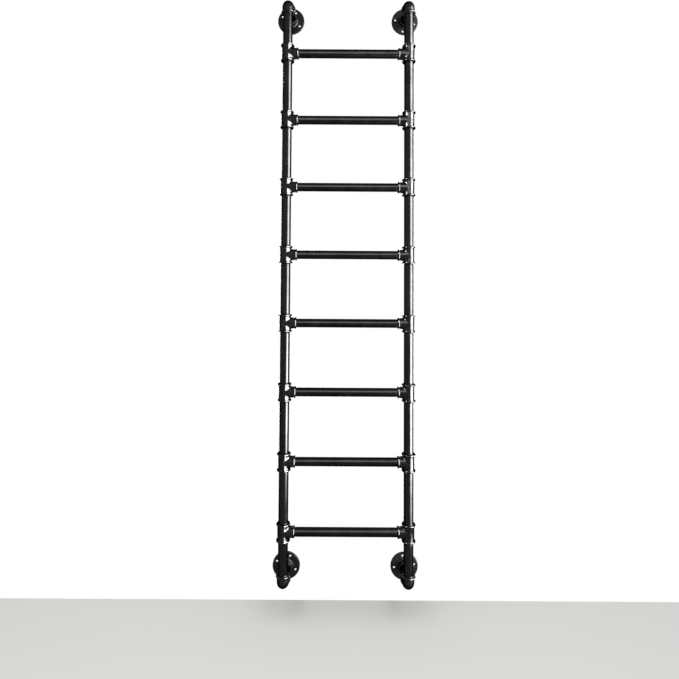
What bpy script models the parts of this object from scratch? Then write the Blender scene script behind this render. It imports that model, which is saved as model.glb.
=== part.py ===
"""Wall-mounted ladder shelf of threaded black iron pipe and malleable fittings.

Frame: +X to the viewer's right, +Y into the wall, +Z up. The origin lies on the wall plane,
midway between the two lower flanges, at the height of their axes. The front faces -Y.
"""

import math

import bmesh
import bpy
from mathutils import Matrix, Vector

# The ladder, in metres: between rung axes, between stile axes, from an end rung to the standoffs
# beside it, and from the wall to the plane of the stiles
RUNG_COUNT = 8
RUNG_SPACING = 0.239
STILE_SPACING = 0.432
END_REACH = 0.178
WALL_OFFSET = 0.110

# Inch pipe of the stiles and standoffs
STILE_PIPE_OD = 0.0337
STILE_PIPE_WALL = 0.0032
STILE_THREAD_LENGTH = 0.0120

# Slimmer pipe of the rungs
RUNG_PIPE_OD = 0.0300
RUNG_PIPE_WALL = 0.0027
RUNG_THREAD_LENGTH = 0.0125

# Threads are plain spigots at the mean thread radius, with a cone where the thread runs out
THREAD_DROP = 0.0006
THREAD_RUNOUT = 0.0025
THREAD_GAP = 0.0003

# Wall and beads that the fittings are cast with
FITTING_WALL = 0.0035
STILE_BEAD_RISE = 0.0040
STILE_BEAD_WIDTH = 0.0065
RUNG_BEAD_RISE = 0.0020
RUNG_BEAD_WIDTH = 0.0055
CHAMFER = 0.0013

# Reducing tee, measured from the crossing of its axes
TEE_HALF_LENGTH = 0.0305
TEE_BRANCH_REACH = 0.0390

# Elbow: the radius inside its bend, and the gap past the end of a screwed-in pipe
ELBOW_INNER_RADIUS = 0.00145
ELBOW_END_GAP = 0.0005

# Wall flange
FLANGE_THICKNESS = 0.0060
FLANGE_HEIGHT = 0.0200
HUB_RISE = 0.0025
HUB_DRAFT = 0.0010
HUB_FLARE = 0.0050
SCREW_HOLE = 0.0085
SCREW_COUNT = 4
HUB_TO_HOLE = 0.0052
HOLE_TO_RIM = 0.00875
# The angle that each flange is screwed home to: that of its first hole, from +X towards +Z
FLANGE_DEGREES = {"bottom_left": 66.5, "bottom_right": 8.5, "top_left": 61.0, "top_right": 78.5}

# Facets round each part and along each elbow, the edge angle that shows as sharp, how far
# a cutter runs past what it cuts, and the distance at which vertices are merged
SIDES = 12
BEND_STEPS = 4
SHARP_ANGLE = math.radians(40)
CUT_PAST = 0.002
MERGE = 0.00001

# Derived sizes
STILE_RADIUS = STILE_PIPE_OD / 2
STILE_SOCKET = STILE_RADIUS - THREAD_DROP + THREAD_GAP
STILE_BARREL = STILE_SOCKET + FITTING_WALL
STILE_BEAD = STILE_BARREL + STILE_BEAD_RISE
RUNG_RADIUS = RUNG_PIPE_OD / 2
RUNG_SOCKET = RUNG_RADIUS - THREAD_DROP + THREAD_GAP
RUNG_BARREL = RUNG_SOCKET + FITTING_WALL
RUNG_BEAD = RUNG_BARREL + RUNG_BEAD_RISE
BEND_RADIUS = STILE_BARREL + ELBOW_INNER_RADIUS
ELBOW_REACH = BEND_RADIUS + STILE_THREAD_LENGTH + ELBOW_END_GAP
HUB_RADIUS = STILE_BARREL + HUB_RISE
SCREW_RADIUS = HUB_RADIUS + HUB_FLARE + HUB_TO_HOLE + SCREW_HOLE / 2
FLANGE_RADIUS = SCREW_RADIUS + SCREW_HOLE / 2 + HOLE_TO_RIM
HALF_SPAN = STILE_SPACING / 2
RUNG_HEIGHTS = [END_REACH + RUNG_SPACING * step for step in range(RUNG_COUNT)]
LADDER_TOP = RUNG_HEIGHTS[-1] + END_REACH

QUARTER_TURN = math.radians(90)
AS_MADE = Matrix.Identity(4)
ALONG_X = Matrix.Rotation(QUARTER_TURN, 4, "Y")
TO_WALL = Matrix.Rotation(-QUARTER_TURN, 4, "X")
TO_ROOM = Matrix.Rotation(QUARTER_TURN, 4, "X")


def painted_iron(name, colour, roughness):
    """A Principled material for black-painted iron."""
    material = bpy.data.materials.new(name)
    material.use_nodes = True
    shader = material.node_tree.nodes["Principled BSDF"]
    shader.inputs["Base Color"].default_value = (*colour, 1.0)
    shader.inputs["Roughness"].default_value = roughness
    shader.inputs["Metallic"].default_value = 0.0
    material.diffuse_color = (*colour, 1.0)
    return material


def finished_mesh(bm, name):
    """The bmesh with its doubles merged and its faces outward, as a mesh shaded smooth between sharp edges."""
    bmesh.ops.remove_doubles(bm, verts=bm.verts, dist=MERGE)
    bmesh.ops.dissolve_degenerate(bm, edges=bm.edges, dist=MERGE)
    bmesh.ops.recalc_face_normals(bm, faces=bm.faces)
    mesh = bpy.data.meshes.new(name)
    bm.to_mesh(mesh)
    bm.free()
    mesh.shade_smooth()
    mesh.set_sharp_from_angle(angle=SHARP_ANGLE)
    return mesh


def turned(name, profile, closed=True):
    """A mesh turned about Z from (radius, height) points. An open profile starts and ends on the axis."""
    bm = bmesh.new()
    points = [bm.verts.new((radius, 0, height)) for radius, height in profile]
    following = points[1:] + points[:1] if closed else points[1:]
    edges = [bm.edges.new(pair) for pair in zip(points, following)]
    full_turn = {"cent": (0, 0, 0), "axis": (0, 0, 1), "angle": 2 * math.pi, "steps": SIDES, "use_merge": True}
    bmesh.ops.spin(bm, geom=points + edges, **full_turn)
    return finished_mesh(bm, name)


def drill(name, radius, low, high):
    """A plain rod about Z, to cut a hole with."""
    return turned(name, [(0, low), (radius, low), (radius, high), (0, high)], closed=False)


def placed(name, mesh, location=(0, 0, 0), turn=AS_MADE):
    """A new object, turned about the origin and then moved to its place."""
    item = bpy.data.objects.new(name, mesh)
    bpy.context.scene.collection.objects.link(item)
    item.matrix_world = Matrix.Translation(location) @ turn
    return item


def combined(name, base, steps):
    """The mesh of base after each (operation, object) step. All of those objects are then removed."""
    for operation, other in steps:
        modifier = base.modifiers.new(other.name, "BOOLEAN")
        modifier.operation = operation
        modifier.object = other
    bm = bmesh.new()
    bm.from_object(base, bpy.context.evaluated_depsgraph_get())
    for item in [base] + [other for _, other in steps]:
        bpy.data.objects.remove(item)
    return finished_mesh(bm, name)


def pipe_mesh(name, exposed, radius, wall, thread, material):
    """A pipe about Z from its middle, with a threaded spigot past each end of its exposed length."""
    bore = radius - wall
    spigot = radius - THREAD_DROP
    shoulder = exposed / 2
    full = shoulder - THREAD_RUNOUT
    end = shoulder + thread
    upper = [(radius, full), (spigot, shoulder), (spigot, end), (bore, end)]
    lower = [(across, -height) for across, height in reversed(upper)]
    mesh = turned(name, lower + upper)
    mesh.materials.append(material)
    return mesh


def bead_profile(barrel, bead, face, width):
    """The outline of one bead, from the barrel out to the fitting's face, with a sloped inner shoulder."""
    inner = face - width
    return [(barrel, inner), (bead, inner + CHAMFER), (bead, face)]


def tee_mesh(material):
    """The reducing tee: its run along Z, its branch along +X, a bead at each mouth and a bore in each leg."""
    upper = bead_profile(STILE_BARREL, STILE_BEAD, TEE_HALF_LENGTH, STILE_BEAD_WIDTH)
    upper.append((0, TEE_HALF_LENGTH))
    lower = [(across, -height) for across, height in reversed(upper)]
    branch = [(0, 0), (RUNG_BARREL, 0)]
    branch += bead_profile(RUNG_BARREL, RUNG_BEAD, TEE_BRANCH_REACH, RUNG_BEAD_WIDTH)
    branch.append((0, TEE_BRANCH_REACH))
    run_end = TEE_HALF_LENGTH + CUT_PAST
    branch_end = TEE_BRANCH_REACH + CUT_PAST
    run_bore = placed("run_bore", drill("run_bore", STILE_SOCKET, -run_end, run_end))
    branch_bore = placed("branch_bore", drill("branch_bore", RUNG_SOCKET, 0, branch_end), turn=ALONG_X)
    steps = [
        ("UNION", placed("branch", turned("branch", branch, closed=False), turn=ALONG_X)),
        ("DIFFERENCE", branch_bore),
        ("DIFFERENCE", run_bore),
    ]
    mesh = combined("tee", placed("run", turned("run", lower + upper, closed=False)), steps)
    mesh.materials.append(material)
    return mesh


def elbow_mesh(material):
    """The elbow: one mouth down along -Z, the other back along +Y, with a bore that follows the bend."""
    bead = bead_profile(STILE_BARREL, STILE_BEAD, ELBOW_REACH, STILE_BEAD_WIDTH)
    centre = Vector((0, BEND_RADIUS, -BEND_RADIUS))
    bend = []
    for step in range(BEND_STEPS + 1):
        angle = QUARTER_TURN * step / BEND_STEPS
        spoke = Vector((0, -math.cos(angle), math.sin(angle))) * BEND_RADIUS
        bend.append(Matrix.Translation(centre + spoke) @ Matrix.Rotation(-angle, 4, "X"))
    stations = [(across, Matrix.Translation((0, 0, -reach))) for across, reach in reversed(bead)]
    stations += [(STILE_BARREL, matrix) for matrix in bend]
    stations += [(across, Matrix.Translation((0, reach, 0)) @ TO_WALL) for across, reach in bead]
    stations.append((STILE_SOCKET, Matrix.Translation((0, ELBOW_REACH, 0)) @ TO_WALL))
    stations += [(STILE_SOCKET, matrix) for matrix in reversed(bend)]
    stations.append((STILE_SOCKET, Matrix.Translation((0, 0, -ELBOW_REACH))))
    bm = bmesh.new()
    rings = []
    for across, matrix in stations:
        circle = bmesh.ops.create_circle(bm, segments=SIDES, radius=across, matrix=matrix)
        rings.append(list({edge for vert in circle["verts"] for edge in vert.link_edges}))
    for first, second in zip(rings, rings[1:] + rings[:1]):
        bmesh.ops.bridge_loops(bm, edges=first + second)
    mesh = finished_mesh(bm, "elbow")
    mesh.materials.append(material)
    return mesh


def flange_mesh(degrees, material):
    """The wall flange about Z: its back at 0, its hub towards +Z, and its first hole at the angle given."""
    profile = [
        (STILE_SOCKET, 0),
        (FLANGE_RADIUS, 0),
        (FLANGE_RADIUS, FLANGE_THICKNESS - CHAMFER),
        (FLANGE_RADIUS - CHAMFER, FLANGE_THICKNESS),
        (HUB_RADIUS + HUB_FLARE, FLANGE_THICKNESS),
        (HUB_RADIUS, FLANGE_THICKNESS + HUB_FLARE),
        (HUB_RADIUS - HUB_DRAFT, FLANGE_HEIGHT),
        (STILE_SOCKET, FLANGE_HEIGHT),
    ]
    hole = drill("screw_hole", SCREW_HOLE / 2, -CUT_PAST, FLANGE_THICKNESS + CUT_PAST)
    steps = []
    for index in range(SCREW_COUNT):
        angle = math.radians(degrees) + 2 * math.pi * index / SCREW_COUNT
        spot = Vector((math.cos(angle), math.sin(angle), 0)) * SCREW_RADIUS
        steps.append(("DIFFERENCE", placed(f"screw_hole_{index}", hole, spot)))
    mesh = combined("flange", placed("flange_disc", turned("flange_disc", profile)), steps)
    mesh.materials.append(material)
    return mesh


def build_stile(side, x, meshes):
    """The tees and pipes of one stile. The branches of its tees face the other stile."""
    inward = AS_MADE if x < 0 else Matrix.Rotation(math.pi, 4, "Z")
    for number, height in enumerate(RUNG_HEIGHTS, 1):
        placed(f"tee_{side}_{number}", meshes["tee"], (x, -WALL_OFFSET, height), inward)
    for number, height in enumerate(RUNG_HEIGHTS[:-1], 1):
        middle = height + RUNG_SPACING / 2
        placed(f"stile_pipe_{side}_{number}", meshes["stile_pipe"], (x, -WALL_OFFSET, middle))
    middle = (ELBOW_REACH + END_REACH - TEE_HALF_LENGTH) / 2
    placed(f"stile_pipe_{side}_bottom", meshes["end_pipe"], (x, -WALL_OFFSET, middle))
    placed(f"stile_pipe_{side}_top", meshes["end_pipe"], (x, -WALL_OFFSET, LADDER_TOP - middle))


def build_corner(end, side, x, meshes, flange_material):
    """The elbow, standoff pipe and wall flange at one corner."""
    corner = f"{end}_{side}"
    height = LADDER_TOP if end == "top" else 0
    upright = AS_MADE if end == "top" else Matrix.Rotation(math.pi, 4, "Y")
    placed(f"elbow_{corner}", meshes["elbow"], (x, -WALL_OFFSET, height), upright)
    middle = -(WALL_OFFSET - ELBOW_REACH + FLANGE_HEIGHT) / 2
    placed(f"standoff_{corner}", meshes["standoff"], (x, middle, height), TO_WALL)
    flange = flange_mesh(FLANGE_DEGREES[corner], flange_material)
    placed(f"flange_{corner}", flange, (x, 0, height), TO_ROOM)


def main():
    """Builds the whole ladder."""
    for item in list(bpy.data.objects):
        bpy.data.objects.remove(item)
    cast = painted_iron("black_cast_fittings", (0.020, 0.020, 0.021), 0.42)
    drawn = painted_iron("black_pipe", (0.016, 0.016, 0.017), 0.32)
    rung_drawn = painted_iron("black_rung_pipe", (0.016, 0.016, 0.017), 0.36)
    stile_pipe = (STILE_RADIUS, STILE_PIPE_WALL, STILE_THREAD_LENGTH, drawn)
    rung_pipe = (RUNG_RADIUS, RUNG_PIPE_WALL, RUNG_THREAD_LENGTH, rung_drawn)
    meshes = {
        "tee": tee_mesh(cast),
        "elbow": elbow_mesh(cast),
        "stile_pipe": pipe_mesh("stile_pipe", RUNG_SPACING - 2 * TEE_HALF_LENGTH, *stile_pipe),
        "end_pipe": pipe_mesh("end_pipe", END_REACH - TEE_HALF_LENGTH - ELBOW_REACH, *stile_pipe),
        "standoff": pipe_mesh("standoff", WALL_OFFSET - ELBOW_REACH - FLANGE_HEIGHT, *stile_pipe),
        "rung": pipe_mesh("rung", STILE_SPACING - 2 * TEE_BRANCH_REACH, *rung_pipe),
    }
    for side, x in (("left", -HALF_SPAN), ("right", HALF_SPAN)):
        build_stile(side, x, meshes)
        for end in ("bottom", "top"):
            build_corner(end, side, x, meshes, cast)
    for number, height in enumerate(RUNG_HEIGHTS, 1):
        placed(f"rung_{number}", meshes["rung"], (0, -WALL_OFFSET, height), ALONG_X)


main()
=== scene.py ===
"""Looks of a wall-mounted ladder shelf: black iron pipe screwed into beaded cast fittings.

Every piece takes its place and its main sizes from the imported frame. The finer shapes, such as beads,
fillets, threads and chamfers, are made here, about each fitting's own axes, and then moved into place.
"""

import logging
import math
from dataclasses import dataclass, field
from enum import Enum
from typing import Callable, Optional, Sequence, Union

import bmesh
import bpy
from bpy.types import Material, Mesh, NodeSocket, NodeTree, Object
from mathutils import Matrix, Vector

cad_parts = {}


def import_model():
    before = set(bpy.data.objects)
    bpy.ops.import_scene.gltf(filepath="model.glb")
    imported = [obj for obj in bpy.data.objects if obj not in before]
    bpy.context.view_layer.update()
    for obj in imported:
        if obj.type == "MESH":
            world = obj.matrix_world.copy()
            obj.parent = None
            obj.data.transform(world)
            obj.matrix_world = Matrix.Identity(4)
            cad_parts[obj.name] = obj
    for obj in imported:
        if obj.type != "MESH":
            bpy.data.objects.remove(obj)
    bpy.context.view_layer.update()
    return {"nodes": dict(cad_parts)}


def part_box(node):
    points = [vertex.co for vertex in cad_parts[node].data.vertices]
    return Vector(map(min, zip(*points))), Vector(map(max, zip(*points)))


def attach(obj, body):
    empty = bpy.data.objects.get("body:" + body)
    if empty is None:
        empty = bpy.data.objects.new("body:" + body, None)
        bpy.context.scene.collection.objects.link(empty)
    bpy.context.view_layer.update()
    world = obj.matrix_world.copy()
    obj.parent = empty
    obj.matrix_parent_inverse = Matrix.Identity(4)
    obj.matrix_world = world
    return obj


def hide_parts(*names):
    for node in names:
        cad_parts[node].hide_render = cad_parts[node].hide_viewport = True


LOG = logging.getLogger("ladder_shelf")
BODY = "root"
MM = 0.001
QUARTER_TURN = math.pi / 2
FULL_TURN = 2 * math.pi
MERGE = 0.01 * MM

AS_MADE = Matrix.Identity(4)
ALONG_X = Matrix.Rotation(QUARTER_TURN, 4, "Y")
TO_WALL = Matrix.Rotation(-QUARTER_TURN, 4, "X")
TO_ROOM = Matrix.Rotation(QUARTER_TURN, 4, "X")
HALF_TURN_Y = Matrix.Rotation(math.pi, 4, "Y")
HALF_TURN_Z = Matrix.Rotation(math.pi, 4, "Z")

Profile = list[tuple[float, float]]


# ---------------------------------------------------------------------------------------------------
# Mesh tools
# ---------------------------------------------------------------------------------------------------


def arc(
    centre: tuple[float, float],
    radii: tuple[float, float],
    start: float,
    end: float,
    steps: int,
) -> Profile:
    """Points along an elliptic arc in the (radius, height) plane.

    Args:
        centre: The arc's centre, as (radius, height).
        radii: Its half sizes along the radius and along the height.
        start: Its first angle in degrees, from outwards (0) towards upwards (90).
        end: Its last angle in degrees.
        steps: The number of chords along it.

    Returns:
        The points, both ends included.
    """
    points = []
    for step in range(steps + 1):
        angle = math.radians(start + (end - start) * step / steps)
        points.append((centre[0] + radii[0] * math.cos(angle), centre[1] + radii[1] * math.sin(angle)))
    return points


def lathe(bm: bmesh.types.BMesh, profile: Profile, steps: int, closed: bool = True) -> None:
    """Turns a profile of (radius, height) points about Z.

    Args:
        bm: The mesh that the turned faces are added to.
        profile: The points, in order along the outline.
        steps: The number of facets round the turn.
        closed: Whether the last point joins back to the first.
    """
    points = [bm.verts.new((radius, 0.0, height)) for radius, height in profile]
    following = points[1:] + points[:1] if closed else points[1:]
    edges = [bm.edges.new(pair) for pair in zip(points, following)]
    bmesh.ops.spin(
        bm,
        geom=points + edges,
        cent=(0, 0, 0),
        axis=(0, 0, 1),
        angle=FULL_TURN,
        steps=steps,
        use_merge=True,
    )


def tidy(bm: bmesh.types.BMesh) -> None:
    """Merges doubled vertices and turns every face outwards."""
    bmesh.ops.remove_doubles(bm, verts=bm.verts, dist=MERGE)
    bmesh.ops.recalc_face_normals(bm, faces=bm.faces)


def radial(vert: bmesh.types.BMVert) -> float:
    """The distance of a vertex from the Z axis."""
    return math.hypot(vert.co.x, vert.co.y)


def to_mesh(bm: bmesh.types.BMesh, name: str, sharp_degrees: float) -> Mesh:
    """Writes a finished mesh, shaded smooth between its sharp edges, and frees the bmesh.

    Args:
        bm: The finished geometry.
        name: The mesh's name.
        sharp_degrees: Edges that turn by more than this stay sharp.

    Returns:
        The mesh.
    """
    mesh = bpy.data.meshes.new(name)
    bm.to_mesh(mesh)
    bm.free()
    mesh.shade_smooth()
    mesh.set_sharp_from_angle(angle=math.radians(sharp_degrees))
    return mesh


def install(node: str, master: Mesh, place: Matrix, material: Material) -> Object:
    """Adds one finished piece that stands for a CAD node, with its place in its mesh.

    Args:
        node: The CAD node's name. The piece is called that with _look after it.
        master: The mesh, made about its own axes.
        place: Where the mesh goes.
        material: The finish, whose name is also its slot's.

    Returns:
        The new object, at the origin.
    """
    mesh = master.copy()
    mesh.name = f"{node}_look"
    mesh.transform(place)
    mesh.materials.clear()
    mesh.materials.append(material)
    piece = bpy.data.objects.new(f"{node}_look", mesh)
    bpy.context.scene.collection.objects.link(piece)
    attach(piece, BODY)
    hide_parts(node)
    return piece


# ---------------------------------------------------------------------------------------------------
# Shader tools
# ---------------------------------------------------------------------------------------------------

Value = Union["Socket", float, tuple[float, ...]]
Colour = tuple[float, float, float]


@dataclass(frozen=True)
class Socket:
    """A node's output that can be used in Python expressions, each of which adds its Math node."""

    graph: "Graph"
    link: NodeSocket

    def math(self, operation: str, *values: Value) -> "Socket":
        """A Math node with these values as its inputs, in order."""
        return self.graph.add("ShaderNodeMath", {"operation": operation}, dict(enumerate(values)))

    def __add__(self, other: Value) -> "Socket":
        """The sum."""
        return self.math("ADD", self, other)

    __radd__ = __add__

    def __sub__(self, other: Value) -> "Socket":
        """The difference."""
        return self.math("SUBTRACT", self, other)

    def __rsub__(self, other: Value) -> "Socket":
        """The difference, with this socket taken away."""
        return self.math("SUBTRACT", other, self)

    def __mul__(self, other: Value) -> "Socket":
        """The product."""
        return self.math("MULTIPLY", self, other)

    __rmul__ = __mul__

    def __abs__(self) -> "Socket":
        """The size without its sign."""
        return self.math("ABSOLUTE", self)

    def blend_between(self, low: float, high: float) -> "Socket":
        """0 below low, 1 above high, and a smooth rise between them.

        Args:
            low: Where the rise starts.
            high: Where it ends.

        Returns:
            The blend.
        """
        settings = {"interpolation_type": "SMOOTHSTEP"}
        values = {"Value": self, "From Min": low, "From Max": high}
        return self.graph.add("ShaderNodeMapRange", settings, values)


class Graph:
    """A node tree that is emptied and then filled by one method."""

    def __init__(self, tree: NodeTree) -> None:
        """Takes over a material's or a world's node tree."""
        self.tree = tree
        tree.nodes.clear()

    def add(
        self,
        kind: str,
        settings: Optional[dict[str, object]] = None,
        values: Optional[dict[Union[int, str], object]] = None,
        output: Union[int, str] = 0,
    ) -> Socket:
        """Adds one node.

        Args:
            kind: The node's type.
            settings: Its own properties, which are set first.
            values: Its inputs by name or number, each a value or a link.
            output: The output that is returned, by name or number.

        Returns:
            That output.
        """
        node = self.tree.nodes.new(kind)
        for name, setting in (settings or {}).items():
            setattr(node, name, setting)
        for name, value in (values or {}).items():
            if isinstance(value, Socket):
                self.tree.links.new(value.link, node.inputs[name])
            else:
                node.inputs[name].default_value = value
        return Socket(self, node.outputs[output]) if len(node.outputs) else Socket(self, None)

    def noise(self, place: Socket, scale: float, detail: float, roughness: float = 0.5) -> Socket:
        """A noise value from 0 to 1."""
        values = {"Vector": place, "Scale": scale, "Detail": detail, "Roughness": roughness}
        return self.add("ShaderNodeTexNoise", {}, values, "Fac")

    def stretched(self, place: Socket, scale: tuple[float, float, float]) -> Socket:
        """Coordinates scaled by their own factor along each axis."""
        return self.add("ShaderNodeMapping", {}, {"Vector": place, "Scale": scale})

    def mix_colour(self, factor: Value, first: Value, second: Value) -> Socket:
        """A colour between two others, each a link or red, green and blue.

        Args:
            factor: 0 for the first colour, 1 for the second.
            first: A link or a colour.
            second: A link or a colour.

        Returns:
            The mixed colour.
        """
        ends = [end if isinstance(end, Socket) else (*end, 1.0) for end in (first, second)]
        values = {"Factor": factor, 6: ends[0], 7: ends[1]}
        return self.add("ShaderNodeMix", {"data_type": "RGBA"}, values, 2)

    def bump(self, height: Socket, distance: float) -> Socket:
        """A normal that follows a relief, whose height of 1 stands proud by a distance."""
        return self.add("ShaderNodeBump", {}, {"Height": height, "Strength": 1.0, "Distance": distance})

    def object_place(self) -> Socket:
        """The Object coordinates."""
        return self.add("ShaderNodeTexCoord", output="Object")

    def attribute(self, name: str) -> Socket:
        """A mesh attribute's value."""
        return self.add("ShaderNodeAttribute", {"attribute_name": name}, output="Fac")


def new_material(name: str, slot: str) -> tuple[Material, Graph]:
    """A material with an empty graph.

    Args:
        name: The material's name.
        slot: The record's material slot that it dresses.

    Returns:
        The material and its graph.
    """
    material = bpy.data.materials.new(name)
    material.use_nodes = True
    material["slot"] = slot
    return material, Graph(material.node_tree)


# ---------------------------------------------------------------------------------------------------
# Finishes
# ---------------------------------------------------------------------------------------------------


class Seam(Enum):
    """The plane that a fitting's mould parts in."""

    FRONT = "front"
    SIDE = "side"
    NONE = "none"


class Grain(Enum):
    """The axis that a pipe was drawn along."""

    X = (0.04, 1.0, 1.0)
    Y = (1.0, 0.04, 1.0)
    Z = (1.0, 1.0, 0.04)


@dataclass(frozen=True)
class CastPaint:
    """Semi-gloss black paint over sand-cast iron: fine pimples, slow lumps and a fettled mould seam."""

    name: str
    slot: str
    seam: Seam
    stile_x: float
    stile_y: float
    shade: Colour = (0.0100, 0.0103, 0.0105)
    pale: Colour = (0.027, 0.0275, 0.028)
    # Lighter colour on the bead crests: rubbed wear, and also a painted sheen that brightens the beads'
    # highlights.
    rubbed_and_sheen: Colour = (0.040, 0.041, 0.042)
    # Black tint at grazing angles: painted shade that darkens the reflections near the edges.
    grazing_painted_shade: Colour = (0.0, 0.0, 0.0)
    roughness: float = 0.16
    rubbed_roughness: float = -0.07
    wear_and_sheen_share: float = 0.45
    grain_scale: float = 520.0
    lump_scale: float = 150.0
    patch_scale: float = 150.0
    grain_relief: float = 0.55
    lump_relief: float = 1.3
    seam_relief: float = 1.6
    bump_distance: float = 0.05 * MM
    seam_half_width: float = 0.55 * MM

    def seam_ridge(self, graph: Graph, place: Socket) -> Value:
        """The mould seam's height: 1 on its line and 0 away from it.

        Args:
            graph: The graph that its nodes are added to.
            place: The Object coordinates.

        Returns:
            The height, or 0 where the fitting shows no seam.
        """
        if self.seam is Seam.NONE:
            return 0.0
        front = self.seam is Seam.FRONT
        along = graph.add("ShaderNodeSeparateXYZ", {}, {"Vector": place}, "Y" if front else "X")
        offset = abs(along - self.stile_y) if front else abs(abs(along) - self.stile_x)
        return 1.0 - offset.blend_between(0.2 * self.seam_half_width, self.seam_half_width)

    def make(self) -> Material:
        """Builds the material.

        Returns:
            The finished material.
        """
        material, graph = new_material(self.name, self.slot)
        place = graph.object_place()
        grain = graph.noise(place, self.grain_scale, 4.0, 0.6)
        lumps = graph.noise(place, self.lump_scale, 3.0)
        patches = graph.noise(place, self.patch_scale, 3.0)
        crest = graph.attribute("crest")
        seam = self.seam_ridge(graph, place) * self.seam_relief
        normal = graph.bump(grain * self.grain_relief + lumps * self.lump_relief + seam, self.bump_distance)
        mottle = (grain * 0.5 + patches * 0.5).blend_between(0.36, 0.64)
        colour = graph.mix_colour(mottle, self.shade, self.pale)
        # Crest colour mask: rubbed wear, and also a painted sheen that lightens the beads.
        wear_and_sheen = crest * grain.blend_between(0.46, 0.60) * self.wear_and_sheen_share
        roughness = self.roughness + (grain - 0.5) * 0.20 + (patches - 0.5) * 0.14
        shader = graph.add(
            "ShaderNodeBsdfPrincipled",
            {},
            {
                "Base Color": graph.mix_colour(wear_and_sheen, colour, self.rubbed_and_sheen),
                "Roughness": roughness + crest * self.rubbed_roughness,
                "Metallic": 1.0,
                # Painted shade: grazing reflections are tinted black.
                "Specular Tint": (*self.grazing_painted_shade, 1.0),
                "Normal": normal,
            },
        )
        graph.add("ShaderNodeOutputMaterial", {}, {"Surface": shader})
        return material


@dataclass(frozen=True)
class DrawnPaint:
    """Semi-gloss black paint over drawn pipe: long faint draw lines, and oily dark threads at the ends."""

    name: str
    slot: str
    grain: Grain
    shade: Colour = (0.0140, 0.0144, 0.0148)
    pale: Colour = (0.0190, 0.0194, 0.0200)
    thread_shade: Colour = (0.012, 0.012, 0.013)
    # Black tint at grazing angles: painted shade that darkens the reflections near the edges.
    grazing_painted_shade: Colour = (0.0, 0.0, 0.0)
    roughness: float = 0.22
    thread_roughness: float = 0.34
    line_scale: float = 700.0
    line_relief: float = 0.8
    peel_scale: float = 260.0
    patch_scale: float = 28.0
    bump_distance: float = 0.008 * MM

    def make(self) -> Material:
        """Builds the material.

        Returns:
            The finished material.
        """
        material, graph = new_material(self.name, self.slot)
        place = graph.object_place()
        lines = graph.noise(graph.stretched(place, self.grain.value), self.line_scale, 3.0)
        peel = graph.noise(place, self.peel_scale, 2.0)
        patches = graph.noise(place, self.patch_scale, 3.0)
        thread = graph.attribute("thread")
        normal = graph.bump(lines * self.line_relief + peel, self.bump_distance)
        streaks = (lines * 0.4 + patches * 0.6).blend_between(0.38, 0.62)
        colour = graph.mix_colour(streaks, self.shade, self.pale)
        roughness = self.roughness + (lines - 0.5) * 0.05 + (patches - 0.5) * 0.10
        shader = graph.add(
            "ShaderNodeBsdfPrincipled",
            {},
            {
                "Base Color": graph.mix_colour(thread, colour, self.thread_shade),
                "Roughness": roughness + thread * (self.thread_roughness - self.roughness),
                "Metallic": 1.0,
                # Painted shade: grazing reflections are tinted black.
                "Specular Tint": (*self.grazing_painted_shade, 1.0),
                "Normal": normal,
            },
        )
        graph.add("ShaderNodeOutputMaterial", {}, {"Surface": shader})
        return material


# ---------------------------------------------------------------------------------------------------
# Sizes taken from the frame
# ---------------------------------------------------------------------------------------------------


def extent(node: str) -> Vector:
    """The size of a node's box."""
    low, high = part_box(node)
    return Vector(high) - Vector(low)


def middle(node: str) -> Vector:
    """The centre of a node's box."""
    low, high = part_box(node)
    return (Vector(high) + Vector(low)) / 2


@dataclass(frozen=True)
class Layout:
    """Where the ladder's axes lie and how large its standard parts are, all read from the frame."""

    rung_count: int
    stile_x: float
    stile_y: float
    top: float
    stile_radius: float
    rung_radius: float
    tee_half_length: float
    tee_reach: float
    stile_bead: float
    elbow_reach: float
    flange_radius: float
    flange_height: float

    @classmethod
    def from_frame(cls, nodes: Sequence[str]) -> "Layout":
        """Reads the layout from the boxes of the nodes.

        Args:
            nodes: Every node's name.

        Returns:
            The layout.
        """
        pipe = middle("stile_pipe_right_1")
        tee_low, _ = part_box("tee_right_1")
        elbow_low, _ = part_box("elbow_top_right")
        top = middle("standoff_top_right").z
        return cls(
            rung_count=sum(name.startswith("rung_") for name in nodes),
            stile_x=pipe.x,
            stile_y=pipe.y,
            top=top,
            stile_radius=extent("stile_pipe_right_1").x / 2,
            rung_radius=extent("rung_1").z / 2,
            tee_half_length=extent("tee_right_1").z / 2,
            tee_reach=pipe.x - tee_low[0],
            stile_bead=extent("tee_right_1").y / 2,
            elbow_reach=top - elbow_low[2],
            flange_radius=extent("flange_top_right").x / 2,
            flange_height=extent("flange_top_right").y,
        )


@dataclass(frozen=True)
class Mouth:
    """The end of a fitting: barrel, rounded bead, flat face, chamfered lip and threaded bore."""

    barrel: float
    bead: float
    face: float
    bore: float
    width: float = 6.5 * MM
    fillet: float = 1.3 * MM
    lip: float = 1.2 * MM
    depth: float = 13.0 * MM
    crest_share: float = 0.8

    def crest(self) -> float:
        """The radius past which the bead stands proud enough to get rubbed wear and a painted sheen."""
        return self.barrel + self.crest_share * (self.bead - self.barrel)

    def outline(self) -> Profile:
        """The outline from the barrel, over the bead and the face, down to the bottom of the bore.

        Returns:
            Its points.
        """
        rise, half = self.bead - self.barrel, self.width / 2
        root = self.face - self.width - 0.75 * self.fillet
        points = arc((self.barrel + self.fillet, root), (self.fillet, self.fillet), 180, 125, 3)
        points += arc((self.barrel + 0.15 * rise, self.face - half), (0.85 * rise, half), -62, 90, 10)
        points.append((self.bore + 1.9 * self.lip, self.face))
        points.append((self.bore + self.lip, self.face - 0.15 * self.lip))
        points.append((self.bore, self.face - 1.1 * self.lip))
        points.append((self.bore, self.face - self.depth))
        return points


# ---------------------------------------------------------------------------------------------------
# Pipes
# ---------------------------------------------------------------------------------------------------


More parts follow.
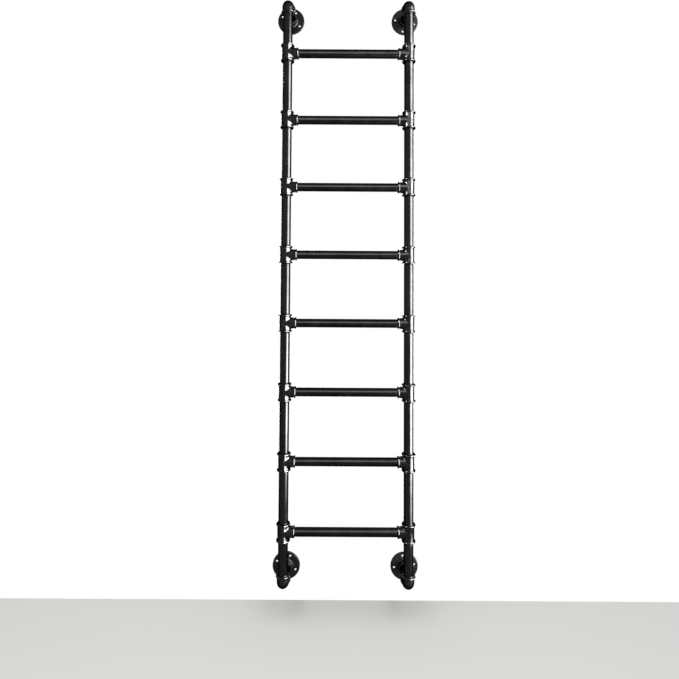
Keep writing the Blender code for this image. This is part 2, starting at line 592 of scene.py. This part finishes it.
@dataclass
class Pipe:
    """A pipe about Z from its middle, with the last turns of a tapered thread showing at each end."""

    radius: float
    length: float
    pitch: float
    wall: float = 3.0 * MM
    hidden: float = 12.0 * MM
    showing: float = 4.6 * MM
    sunk: float = 1.8 * MM
    thread_depth: float = 1.0 * MM
    thread_taper: float = 0.25 * MM
    rings_per_turn: int = 8
    steps: int = 64

    def outline(self) -> Profile:
        """The closed outline, with close rings where the thread is cut.

        Returns:
            Its points.
        """
        half = self.length / 2
        shoulder = half - self.hidden
        core = self.radius - self.thread_depth
        start = shoulder - self.showing
        rings = math.ceil((self.showing + self.sunk) / self.pitch * self.rings_per_turn)
        upper = [(self.radius, start - 1.0 * MM)]
        upper += [
            (self.radius, start + (self.showing + self.sunk) * ring / rings) for ring in range(rings + 1)
        ]
        upper += [(core, shoulder + self.sunk), (core, half), (self.radius - self.wall, half)]
        return [(across, -height) for across, height in reversed(upper)] + upper

    def cut_threads(self, bm: bmesh.types.BMesh) -> None:
        """Presses a right-hand thread into the outer surface, fading out away from each fitting.

        Args:
            bm: The turned pipe.
        """
        shoulder = self.length / 2 - self.hidden
        reach = self.showing + self.sunk
        mark = bm.verts.layers.float.new("thread")
        for vert in bm.verts:
            across = radial(vert)
            inward = shoulder + self.sunk - abs(vert.co.z)
            if across < self.radius - 0.5 * self.thread_depth or inward > reach + MERGE:
                continue
            turn = math.atan2(vert.co.y, vert.co.x) / FULL_TURN
            side = 1.0 if vert.co.z > 0 else -1.0
            phase = inward / self.pitch + side * turn
            groove = (0.5 - 0.5 * math.cos(FULL_TURN * phase)) ** 0.8
            fade = min(1.0, max(0.0, (reach - inward) / (0.7 * reach)))
            depth = self.thread_depth * groove * fade + self.thread_taper * fade
            scale = (across - depth) / across
            vert.co.x *= scale
            vert.co.y *= scale
            vert[mark] = min(1.0, 1.6 * fade)

    def mesh(self, name: str) -> Mesh:
        """Builds the pipe's mesh.

        Args:
            name: The mesh's name.

        Returns:
            The mesh.
        """
        bm = bmesh.new()
        lathe(bm, self.outline(), self.steps)
        tidy(bm)
        self.cut_threads(bm)
        return to_mesh(bm, name, 50)


# ---------------------------------------------------------------------------------------------------
# Fittings
# ---------------------------------------------------------------------------------------------------


def mark_crests(bm: bmesh.types.BMesh, is_crest: Callable[[Vector], bool]) -> None:
    """Writes the crest attribute: 1 where a bead stands proud and gets rubbed wear and a painted sheen.

    Args:
        bm: The fitting's mesh.
        is_crest: Whether a place on it is part of a crest.
    """
    mark = bm.verts.layers.float.new("crest")
    for vert in bm.verts:
        vert[mark] = 1.0 if is_crest(vert.co) else 0.0


@dataclass
class Tee:
    """A reducing tee: its run along Z, its branch along +X, made as one quarter and mirrored twice."""

    layout: Layout
    wall: float = 3.2 * MM
    branch_rise: float = 2.0 * MM
    root_swell: float = 1.70 * MM
    junction_fillet: float = 2.6 * MM
    neck_swell_share: float = 0.85
    neck_offset: float = 3.2 * MM
    gap: float = 0.3 * MM
    front_steps: int = 12
    back_steps: int = 14

    def run_mouth(self) -> Mouth:
        """The run's mouths."""
        bore = self.layout.stile_radius - self.gap
        return Mouth(bore + self.wall + self.gap, self.layout.stile_bead, self.layout.tee_half_length, bore)

    def branch_mouth(self) -> Mouth:
        """The branch's mouth.

        Returns:
            The mouth, narrower than the run's.
        """
        bore = self.layout.rung_radius - self.gap
        barrel = bore + self.wall + self.gap
        return Mouth(barrel, barrel + self.branch_rise, self.layout.tee_reach, bore, width=5.5 * MM)

    def junction(self, run: float, branch: float) -> tuple[list[Vector], list[float]]:
        """One quarter of the line where the run and the branch meet, and the rest of the run's middle.

        Args:
            run: The run's radius.
            branch: The branch's radius.

        Returns:
            The points of the chain, and each one's angle round the run.
        """
        points, angles = [], []
        for step in range(self.front_steps + 1):
            turn = QUARTER_TURN * step / self.front_steps
            across = branch * math.sin(turn)
            angles.append(math.asin(across / run))
            points.append(Vector((math.sqrt(run**2 - across**2), across, branch * math.cos(turn))))
        last = angles[-1]
        for step in range(1, self.back_steps + 1):
            angle = last + (math.pi - last) * step / self.back_steps
            angles.append(angle)
            points.append(Vector((run * math.cos(angle), run * math.sin(angle), 0.0)))
        return points, angles

    @staticmethod
    def extrude_chain(
        bm: bmesh.types.BMesh,
        edges: list[bmesh.types.BMEdge],
        verts: list[bmesh.types.BMVert],
        places: list[Vector],
    ) -> tuple[list[bmesh.types.BMEdge], list[bmesh.types.BMVert]]:
        """Extrudes a chain of edges and moves its new vertices.

        Args:
            bm: The mesh.
            edges: The chain's edges, in order.
            verts: The chain's vertices, in order.
            places: Where each new vertex goes.

        Returns:
            The new chain's edges and vertices, in the same order.
        """
        made = bmesh.ops.extrude_edge_only(bm, edges=edges)["geom"]
        fresh = {item for item in made if isinstance(item, bmesh.types.BMVert)}
        ordered = []
        for vert in verts:
            across = (edge.other_vert(vert) for edge in vert.link_edges)
            ordered.append(next(other for other in across if other in fresh))
        for vert, place in zip(ordered, places):
            vert.co = place
        chain = [bm.edges.get(pair) for pair in zip(ordered, ordered[1:])]
        return chain, ordered

    def quarter(self, bm: bmesh.types.BMesh) -> None:
        """Models the quarter with Y and Z above zero, as one wall from the outer junction to the inner.

        Args:
            bm: The empty mesh.
        """
        run, branch = self.run_mouth(), self.branch_mouth()
        root = branch.barrel + self.root_swell
        outer, outer_angles = self.junction(run.barrel, root)
        inner, inner_angles = self.junction(run.bore, branch.bore)
        start = [bm.verts.new(point) for point in outer]
        edges = [bm.edges.new(pair) for pair in zip(start, start[1:])]
        chain, verts = edges, start
        for across, height in run.outline():
            angles = inner_angles if across < 0.5 * (run.bore + run.barrel) else outer_angles
            places = [Vector((across * math.cos(a), across * math.sin(a), height)) for a in angles]
            chain, verts = self.extrude_chain(bm, chain, verts, places)
        self.extrude_chain(bm, chain, verts, inner)
        front = self.front_steps + 1
        chain, verts = edges[: front - 1], start[:front]
        turns = [QUARTER_TURN * step / self.front_steps for step in range(front)]
        spokes = [(math.sin(turn), math.cos(turn)) for turn in turns]
        neck = (branch.barrel + self.neck_swell_share * self.root_swell, run.barrel + self.neck_offset)
        for across, reach in [neck] + branch.outline():
            places = [Vector((reach, across * side, across * up)) for side, up in spokes]
            chain, verts = self.extrude_chain(bm, chain, verts, places)
        self.extrude_chain(bm, chain, verts, inner[:front])

    def mesh(self, name: str) -> Mesh:
        """Builds the tee's mesh.

        Args:
            name: The mesh's name.

        Returns:
            The mesh.
        """
        bm = bmesh.new()
        self.quarter(bm)
        for axis in ("Y", "Z"):
            bmesh.ops.mirror(bm, geom=bm.verts[:] + bm.edges[:] + bm.faces[:], axis=axis, merge_dist=MERGE)
        tidy(bm)
        run, branch = self.run_mouth(), self.branch_mouth()
        root = branch.barrel + self.root_swell

        def on_junction(vert: bmesh.types.BMVert) -> bool:
            """Whether a vertex lies on the outer line where the run and the branch meet.

            Args:
                vert: A vertex of the tee.

            Returns:
                Whether it does.
            """
            place = vert.co
            on_run = abs(math.hypot(place.x, place.y) - run.barrel) < MERGE
            return on_run and place.x > 0 and abs(math.hypot(place.y, place.z) - root) < MERGE

        seam = [edge for edge in bm.edges if on_junction(edge.verts[0]) and on_junction(edge.verts[1])]
        bmesh.ops.bevel(
            bm,
            geom=seam,
            offset=self.junction_fillet,
            affect="EDGES",
            segments=4,
            profile=0.5,
            material=-1,
        )
        tidy(bm)
        run_crest, branch_crest = run.crest(), branch.crest()
        mark_crests(
            bm,
            lambda place: math.hypot(place.x, place.y) > run_crest
            and (place.x < run.bead + MM or math.hypot(place.y, place.z) > branch_crest),
        )
        return to_mesh(bm, name, 50)


@dataclass
class Elbow:
    """An elbow with one mouth down along -Z and the other back along +Y, made as half and mirrored."""

    layout: Layout
    wall: float = 3.2 * MM
    gap: float = 0.3 * MM
    inner_radius: float = 1.45 * MM
    heel_swell: float = 1.6 * MM
    thread_depth: float = 11.5 * MM
    bend_steps: int = 10
    steps: int = 56

    def mouth(self) -> Mouth:
        """Both mouths.

        Returns:
            The mouth, about the axis of either end.
        """
        bore = self.layout.stile_radius - self.gap
        return Mouth(
            barrel=bore + self.wall + self.gap,
            bead=self.layout.stile_bead,
            face=self.layout.elbow_reach,
            bore=bore,
            depth=self.thread_depth,
        )

    def mesh(self, name: str) -> Mesh:
        """Builds the elbow's mesh.

        Args:
            name: The mesh's name.

        Returns:
            The mesh.
        """
        mouth = self.mouth()
        bend = mouth.barrel + self.inner_radius
        bm = bmesh.new()
        lathe(bm, [(mouth.barrel, bend)] + mouth.outline() + [(mouth.bore, bend)], self.steps, closed=False)
        bmesh.ops.remove_doubles(bm, verts=bm.verts, dist=MERGE)
        rim = [edge for edge in bm.edges if edge.is_boundary]
        bmesh.ops.scale(bm, vec=(1, 1, -1), verts=bm.verts)
        bmesh.ops.spin(
            bm,
            geom=rim,
            cent=(0, bend, -bend),
            axis=(-1, 0, 0),
            angle=QUARTER_TURN / 2,
            steps=self.bend_steps,
            use_merge=False,
        )
        half = bm.verts[:] + bm.edges[:] + bm.faces[:]
        copy = bmesh.ops.duplicate(bm, geom=half)["geom"]
        other = [item for item in copy if isinstance(item, bmesh.types.BMVert)]
        for vert in other:
            vert.co.y, vert.co.z = -vert.co.z, -vert.co.y
        tidy(bm)
        self.swell(bm, mouth, bend)
        mark_crests(
            bm,
            lambda place: min(math.hypot(place.x, place.y), math.hypot(place.x, place.z))
            > mouth.crest(),
        )
        return to_mesh(bm, name, 50)

    def swell(self, bm: bmesh.types.BMesh, mouth: Mouth, bend: float) -> None:
        """Thickens the outside of the bend towards its heel.

        Args:
            bm: The elbow's mesh.
            mouth: Its mouth.
            bend: The radius of the bend's centre line.
        """
        for vert in bm.verts:
            arm_y, arm_z = bend - vert.co.y, vert.co.z + bend
            reach = math.hypot(arm_y, arm_z)
            if arm_y <= 0 or arm_z <= 0 or reach < MERGE:
                continue
            outward = Vector((vert.co.x, -(reach - bend) * arm_y / reach, (reach - bend) * arm_z / reach))
            if outward.length < mouth.barrel - 0.5 * MM:
                continue
            amount = math.sin(2 * math.atan2(arm_z, arm_y)) * (0.5 + 0.5 * (reach - bend) / mouth.barrel)
            vert.co += outward.normalized() * self.heel_swell * max(0.0, amount)


@dataclass
class Flange:
    """A round wall flange about Z: its back at 0, its hub towards +Z, with four countersunk screw holes."""

    layout: Layout
    thickness: float = 6.0 * MM
    hub_rise: float = 2.5 * MM
    hub_flare: float = 5.0 * MM
    wall: float = 3.2 * MM
    gap: float = 0.3 * MM
    edge: float = 1.8 * MM
    hole_radius: float = 4.25 * MM
    hole_to_rim: float = 8.75 * MM
    countersink: float = 1.0 * MM
    holes: int = 4
    hole_steps: int = 32
    steps: int = 96

    def outline(self) -> Profile:
        """The closed outline, from the bore's back edge round to its front edge.

        Returns:
            Its points.
        """
        bore = self.layout.stile_radius - self.gap
        hub = bore + self.gap + self.wall + self.hub_rise
        rim, edge, height = self.layout.flange_radius, self.edge, self.layout.flange_height
        points: Profile = [(bore, 0.0), (rim - edge, 0.0), (rim - 0.4 * MM, 0.0), (rim, 0.4 * MM)]
        points += arc((rim - edge, self.thickness - edge), (edge, edge), 0, 90, 6)
        flare = self.hub_flare
        points += arc((hub + flare, self.thickness + flare), (flare, flare), 270, 180, 8)
        points += arc((hub - 1.6 * MM, height - 1.6 * MM), (1.6 * MM, 1.6 * MM), 0, 90, 4)
        points += [(bore + 1.4 * MM, height), (bore, height - 1.3 * MM)]
        return points

    def drill(self, turn: float) -> Object:
        """The cutter for all four holes, with the first at the angle given, in radians.

        Args:
            turn: The first hole's angle.

        Returns:
            The cutter, which isn't linked to the scene yet.
        """
        circle = self.layout.flange_radius - self.hole_to_rim - self.hole_radius
        wide = self.hole_radius + self.countersink + MM
        bm = bmesh.new()
        for index in range(self.holes):
            angle = turn + FULL_TURN * index / self.holes
            cutter = bmesh.new()
            sink = self.thickness - self.countersink
            side = [(0.0, -MM), (self.hole_radius, -MM), (self.hole_radius, sink)]
            side += [(wide, self.thickness + MM), (0.0, self.thickness + MM)]
            lathe(cutter, side, self.hole_steps, closed=False)
            tidy(cutter)
            spot = Matrix.Translation((circle * math.cos(angle), circle * math.sin(angle), 0.0))
            bmesh.ops.transform(cutter, matrix=spot, verts=cutter.verts)
            part = bpy.data.meshes.new("hole")
            cutter.to_mesh(part)
            cutter.free()
            bm.from_mesh(part)
            bpy.data.meshes.remove(part)
        mesh = bpy.data.meshes.new("holes")
        bm.to_mesh(mesh)
        bm.free()
        return bpy.data.objects.new("holes", mesh)

    def mesh(self, name: str, turn: float) -> Mesh:
        """Builds the flange's mesh with its first hole at an angle, in radians.

        Args:
            name: The mesh's name.
            turn: The first hole's angle.

        Returns:
            The mesh.
        """
        bm = bmesh.new()
        lathe(bm, self.outline(), self.steps)
        tidy(bm)
        disc = bpy.data.objects.new("disc", bpy.data.meshes.new("disc"))
        bm.to_mesh(disc.data)
        bm.free()
        cutter = self.drill(turn)
        for item in (disc, cutter):
            bpy.context.scene.collection.objects.link(item)
        cut = disc.modifiers.new("holes", "BOOLEAN")
        cut.operation = "DIFFERENCE"
        cut.object = cutter
        result = bmesh.new()
        result.from_object(disc, bpy.context.evaluated_depsgraph_get())
        for item in (disc, cutter):
            bpy.data.objects.remove(item)
        tidy(result)
        crest = self.layout.flange_radius - 0.5 * self.edge
        mark_crests(result, lambda place: math.hypot(place.x, place.y) > crest)
        return to_mesh(result, name, 35)


# ---------------------------------------------------------------------------------------------------
# The ladder
# ---------------------------------------------------------------------------------------------------


# The angle of each wall flange's first screw hole, in degrees.
FLANGE_TURNS = {"bottom_left": 66.5, "bottom_right": 8.5, "top_left": 61.0, "top_right": 78.5}


@dataclass
class Ladder:
    """Every piece of the ladder, put where its CAD node lies."""

    layout: Layout
    stile_pitch: float = 2.31 * MM
    rung_pitch: float = 1.81 * MM
    flange_turns: dict[str, float] = field(default_factory=lambda: dict(FLANGE_TURNS))
    pieces: list[Object] = field(default_factory=list)

    def __post_init__(self) -> None:
        """Makes the finishes."""
        at = (self.layout.stile_x, self.layout.stile_y)
        cast = "black_cast_fittings"
        self.tee_paint = CastPaint("cast_tee_paint", cast, Seam.FRONT, *at).make()
        self.elbow_paint = CastPaint(
            "cast_elbow_paint",
            cast,
            Seam.SIDE,
            *at,
            shade=(0.011, 0.0112, 0.0115),
            pale=(0.026, 0.0262, 0.0265),
            # Crest colour: rubbed wear and a painted sheen.
            rubbed_and_sheen=(0.045, 0.046, 0.047),
            roughness=0.33,
        ).make()
        self.flange_paint = CastPaint(
            "cast_flange_paint",
            cast,
            Seam.NONE,
            *at,
            shade=(0.009, 0.0095, 0.010),
            pale=(0.019, 0.0195, 0.020),
            roughness=0.40,
        ).make()
        self.stile_paint = DrawnPaint("stile_pipe_paint", "black_pipe", Grain.Z).make()
        self.standoff_paint = DrawnPaint("standoff_pipe_paint", "black_pipe", Grain.Y).make()
        self.rung_paint = DrawnPaint(
            "rung_pipe_paint",
            "black_rung_pipe",
            Grain.X,
            shade=(0.0075, 0.0078, 0.0082),
            pale=(0.0105, 0.0107, 0.011),
            roughness=0.27,
        ).make()

    def add(self, node: str, mesh: Mesh, place: Matrix, material: Material) -> None:
        """Installs one piece and keeps count of it."""
        self.pieces.append(install(node, mesh, place, material))
        LOG.info("%s: %d vertices", node, len(mesh.vertices))

    def build_stiles(self) -> None:
        """The tees and pipes of both stiles."""
        layout = self.layout
        tee = Tee(layout).mesh("tee")
        pipes: dict[float, Mesh] = {}
        for side, turn in (("left", AS_MADE), ("right", HALF_TURN_Z)):
            x = -layout.stile_x if side == "left" else layout.stile_x
            for number in range(1, layout.rung_count + 1):
                place = Matrix.Translation((x, layout.stile_y, middle(f"rung_{number}").z)) @ turn
                self.add(f"tee_{side}_{number}", tee, place, self.tee_paint)
            for part in [*map(str, range(1, layout.rung_count)), "bottom", "top"]:
                node = f"stile_pipe_{side}_{part}"
                length = round(extent(node).z, 5)
                if length not in pipes:
                    pipes[length] = Pipe(layout.stile_radius, length, self.stile_pitch).mesh("stile_pipe")
                self.add(node, pipes[length], Matrix.Translation(middle(node)), self.stile_paint)

    def build_rungs(self) -> None:
        """The rungs."""
        length = extent("rung_1").x
        pipe = Pipe(
            self.layout.rung_radius, length, self.rung_pitch, hidden=12.5 * MM, thread_depth=0.8 * MM
        ).mesh("rung")
        for number in range(1, self.layout.rung_count + 1):
            node = f"rung_{number}"
            self.add(node, pipe, Matrix.Translation(middle(node)) @ ALONG_X, self.rung_paint)

    def build_corners(self) -> None:
        """The elbow, standoff pipe and wall flange at each corner."""
        layout = self.layout
        elbow = Elbow(layout).mesh("elbow")
        length = extent("standoff_top_left").y
        standoff = Pipe(layout.stile_radius, length, self.stile_pitch).mesh("standoff")
        for corner, degrees in self.flange_turns.items():
            end, side = corner.split("_")
            x = -layout.stile_x if side == "left" else layout.stile_x
            z = layout.top if end == "top" else 0.0
            upright = AS_MADE if end == "top" else HALF_TURN_Y
            axis = Matrix.Translation((x, layout.stile_y, z))
            self.add(f"elbow_{corner}", elbow, axis @ upright, self.elbow_paint)
            node = f"standoff_{corner}"
            self.add(node, standoff, Matrix.Translation(middle(node)) @ TO_WALL, self.standoff_paint)
            flange = Flange(layout).mesh("flange", math.radians(degrees))
            self.add(f"flange_{corner}", flange, Matrix.Translation((x, 0.0, z)) @ TO_ROOM, self.flange_paint)

    def build(self) -> None:
        """Builds every piece in order."""
        self.build_stiles()
        self.build_rungs()
        self.build_corners()
        LOG.info("%d pieces", len(self.pieces))


# ---------------------------------------------------------------------------------------------------
# The studio
# ---------------------------------------------------------------------------------------------------


class Reach(Enum):
    """Which kind of reflection a light acts on."""

    GLOSS = "gloss"
    MATTE = "matte"


@dataclass(frozen=True)
class Softbox:
    """A rectangular area light that faces a point, and may act on one kind of piece only."""

    name: str
    place: tuple[float, float, float]
    target: tuple[float, float, float]
    width: float
    height: float
    radiance: float
    reach: Reach = Reach.GLOSS
    only_on: str = ""

    def add(self, pieces: Sequence[Object]) -> None:
        """Adds the light, at a power that gives its surface the stated radiance.

        Args:
            pieces: The ladder's pieces, of which it picks those whose names start with only_on.
        """
        lamp = bpy.data.lights.new(self.name, "AREA")
        lamp.shape = "RECTANGLE"
        lamp.size = self.width
        lamp.size_y = self.height
        lamp.energy = self.radiance * math.pi * self.width * self.height
        item = bpy.data.objects.new(self.name, lamp)
        bpy.context.scene.collection.objects.link(item)
        facing = (Vector(self.target) - Vector(self.place)).to_track_quat("-Z", "Y")
        item.matrix_world = Matrix.Translation(self.place) @ facing.to_matrix().to_4x4()
        item.visible_diffuse = self.reach is Reach.MATTE
        item.visible_glossy = self.reach is Reach.GLOSS
        item.visible_camera = False
        if self.only_on:
            group = bpy.data.collections.new(f"{self.name}_pieces")
            for piece in pieces:
                if piece.name.startswith(self.only_on):
                    group.objects.link(piece)
            item.light_linking.receiver_collection = group


@dataclass
class Studio:
    """The camera, the lights, the pale floor and the white surroundings."""

    layout: Layout
    pieces: list[Object]
    lens: float = 24.18
    shift_y: float = -0.108
    distance: float = 1.600
    camera_x: float = -0.027
    camera_height: float = 0.8658
    pitch_degrees: float = 1.82
    roll_degrees: float = 0.33
    floor_width: float = 7.0
    floor_depth: float = 5.0
    floor_height: float = -0.127
    floor_roughness: float = 0.8
    floor_shade: Colour = (0.74, 0.74, 0.72)
    room_level: float = 0.45

    def add_camera(self) -> None:
        """Adds the camera and makes it the scene's own."""
        lens = bpy.data.cameras.new("camera")
        lens.lens = self.lens
        lens.shift_y = self.shift_y
        camera = bpy.data.objects.new("camera", lens)
        bpy.context.scene.collection.objects.link(camera)
        height = middle("rung_1").z + self.camera_height
        place = Matrix.Translation((self.camera_x, self.layout.stile_y - self.distance, height))
        pitch = Matrix.Rotation(QUARTER_TURN + math.radians(self.pitch_degrees), 4, "X")
        camera.matrix_world = place @ pitch @ Matrix.Rotation(math.radians(self.roll_degrees), 4, "Z")
        bpy.context.scene.camera = camera

    def add_floor(self) -> None:
        """Adds the floor, which ends at the plane of the wall."""
        bm = bmesh.new()
        bmesh.ops.create_grid(bm, x_segments=1, y_segments=1, size=0.5)
        bmesh.ops.scale(bm, vec=(self.floor_width, self.floor_depth, 1.0), verts=bm.verts)
        bmesh.ops.translate(bm, vec=(0.0, -self.floor_depth / 2, self.floor_height), verts=bm.verts)
        floor = bpy.data.objects.new("floor", to_mesh(bm, "floor", 30))
        bpy.context.scene.collection.objects.link(floor)
        material, graph = new_material("pale_floor", "")
        values = {
            "Base Color": (*self.floor_shade, 1.0),
            "Roughness": self.floor_roughness,
            "Specular IOR Level": 0.0,
        }
        shader = graph.add("ShaderNodeBsdfPrincipled", {}, values)
        graph.add("ShaderNodeOutputMaterial", {}, {"Surface": shader})
        floor.data.materials.append(material)

    def add_world(self) -> None:
        """White to the camera and in reflections, and a dimmer room to the light that fills the floor."""
        world = bpy.data.worlds.new("surroundings")
        bpy.context.scene.world = world
        world.use_nodes = True
        graph = Graph(world.node_tree)
        white = (1.0, 1.0, 1.0, 1.0)
        room = graph.add("ShaderNodeBackground", {}, {"Color": white, "Strength": self.room_level})
        backdrop = graph.add("ShaderNodeBackground", {}, {"Color": white, "Strength": 1.0})
        kinds = ("Is Camera Ray", "Is Glossy Ray", "Is Transmission Ray")
        camera, glossy, through = (graph.add("ShaderNodeLightPath", output=kind) for kind in kinds)
        surface = graph.add("ShaderNodeMixShader", {}, {0: camera + glossy + through, 1: room, 2: backdrop})
        graph.add("ShaderNodeOutputWorld", {}, {"Surface": surface})

    def windows(self) -> list[Softbox]:
        """A tall window on the right with a brighter core low down, and two windows behind.

        Returns:
            The lights.
        """
        y = self.layout.stile_y
        pane = {"target": (0.0, y, 1.3), "width": 1.05, "height": 2.8, "radiance": 54.0}
        core = {"target": (0.0, y, 0.36), "width": 0.45, "height": 0.94, "radiance": 30.0}
        rear = {"target": (0.0, y, 1.2), "width": 0.5, "height": 3.0, "radiance": 20.0}
        return [
            Softbox("window", (1.17, -0.67, 1.3), **pane),
            Softbox("window_core", (0.72, -0.44, 0.36), **core),
            Softbox("rear_left", (-0.65, 1.5, 1.2), **rear),
            Softbox("rear_right", (0.65, 1.5, 1.2), **rear),
        ]

    def ceiling(self) -> Softbox:
        """The soft ceiling, which lights matte surfaces such as the floor.

        Returns:
            The light.
        """
        return Softbox(
            "ceiling",
            place=(0.0, -1.4, 3.4),
            target=(0.0, -1.4, 0.0),
            width=4.0,
            height=3.0,
            radiance=2.6,
            reach=Reach.MATTE,
        )

    def accents(self) -> list[Softbox]:
        """A strip along the rungs, and lights for the flanks, beads and branches of the tees.

        Returns:
            The lights.
        """
        x, y = self.layout.stile_x, self.layout.stile_y
        strip = {"place": (0.0, -2.2, 2.1), "target": (0.0, y, 1.2), "width": 1.6, "height": 1.4}
        left = {"radiance": 60.0, "only_on": "tee_left_"}
        small = {"width": 0.6, "height": 0.6, "radiance": 160.0}
        return [
            Softbox("rung_strip", **strip, radiance=13.0, only_on="rung_"),
            Softbox("tee_window", (0.62, -1.29, 1.45), (-x, y, 1.45), width=0.62, height=3.1, **left),
            Softbox("tee_window_low", (0.078, -0.51, 0.09), (-x, y, 0.09), width=0.21, height=0.42, **left),
            Softbox("bead_left", (1.2, -1.22, 2.2), (-x, y, 1.0), **small, only_on="tee_left_"),
            Softbox("bead_right", (-1.2, -1.22, 2.2), (x, y, 1.0), **small, only_on="tee_right_"),
            Softbox("branch_strip", **strip, radiance=6.0, only_on="tee_right_"),
        ]

    def add_lights(self) -> None:
        """Adds every light."""
        for light in [*self.windows(), self.ceiling(), *self.accents()]:
            light.add(self.pieces)

    def build(self) -> None:
        """Sets the whole studio up."""
        self.add_camera()
        self.add_floor()
        self.add_world()
        self.add_lights()
        bpy.context.scene.view_settings.view_transform = "Standard"


def main() -> None:
    """Builds the ladder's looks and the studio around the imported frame."""
    logging.basicConfig(level=logging.INFO, format="%(name)s: %(message)s")
    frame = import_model()
    layout = Layout.from_frame(list(frame["nodes"]))
    LOG.info("layout: %s", layout)
    ladder = Ladder(layout)
    ladder.build()
    Studio(layout, ladder.pieces).build()


if __name__ == "__main__":
    main()
